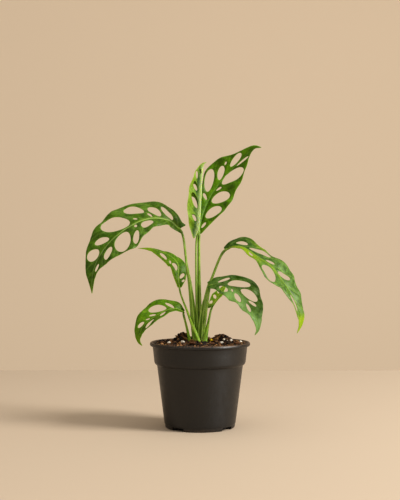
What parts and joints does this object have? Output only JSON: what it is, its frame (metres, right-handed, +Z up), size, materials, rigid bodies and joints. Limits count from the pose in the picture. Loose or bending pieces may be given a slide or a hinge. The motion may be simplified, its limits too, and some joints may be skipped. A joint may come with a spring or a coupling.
{
  "type": "potted monstera obliqua",
  "caption": "Young potted monstera with long, oval-holed, drooping leaves on sheathed stalks, rooted in bark potting mix in a plain black round nursery pot.",
  "frame": {"origin": "centre of the pot's flat underside, on the surface that the pot stands on", "axes": "+Z up, -Y towards the viewer of the picture, +X to that viewer's right"},
  "size_m": [0.2537, 0.12, 0.3364],
  "materials": {
    "pot_plastic": "black moulded plastic with a soft sheen and faint rings",
    "potting_mix": "dark damp bark and peat crumbs",
    "root": "pale fleshy root",
    "stem": "satin light green stalk, paler at the sheath",
    "leaf": "satin dark green leaf, lighter at the midrib and under it",
    "young_leaf": "satin yellow-green leaf",
    "perlite": "matt white crumb",
    "bark": "matt brown bark chip",
    "prill": "smooth yellow granule"
  },
  "bodies": {
    "root": {"pot": "pot_plastic", "soil": "potting_mix", "roots": "root", "trunk": "stem", "petiole_left_high": "stem", "petiole_top_right": "stem", "petiole_young": "stem", "petiole_right_high": "stem", "petiole_right_low": "stem", "petiole_left_mid": "stem", "petiole_left_low": "stem", "petiole_right_back": "stem", "leaf_left_high": "leaf", "leaf_top_right": "leaf", "leaf_young": "young_leaf", "leaf_right_high": "leaf", "leaf_right_low": "leaf", "leaf_left_mid": "young_leaf", "leaf_left_low": "leaf", "leaf_right_back": "young_leaf", "perlite_front_left": "perlite", "perlite_front_mid": "perlite", "perlite_right": "perlite", "perlite_front_right": "perlite", "perlite_mound": "perlite", "perlite_edge_right": "perlite", "bark_left": "bark", "bark_front": "bark", "bark_front_right": "bark", "bark_right": "bark", "bark_back_left": "bark", "bark_back_right": "bark", "fertiliser_prill": "prill"}
  },
  "joints": []
}
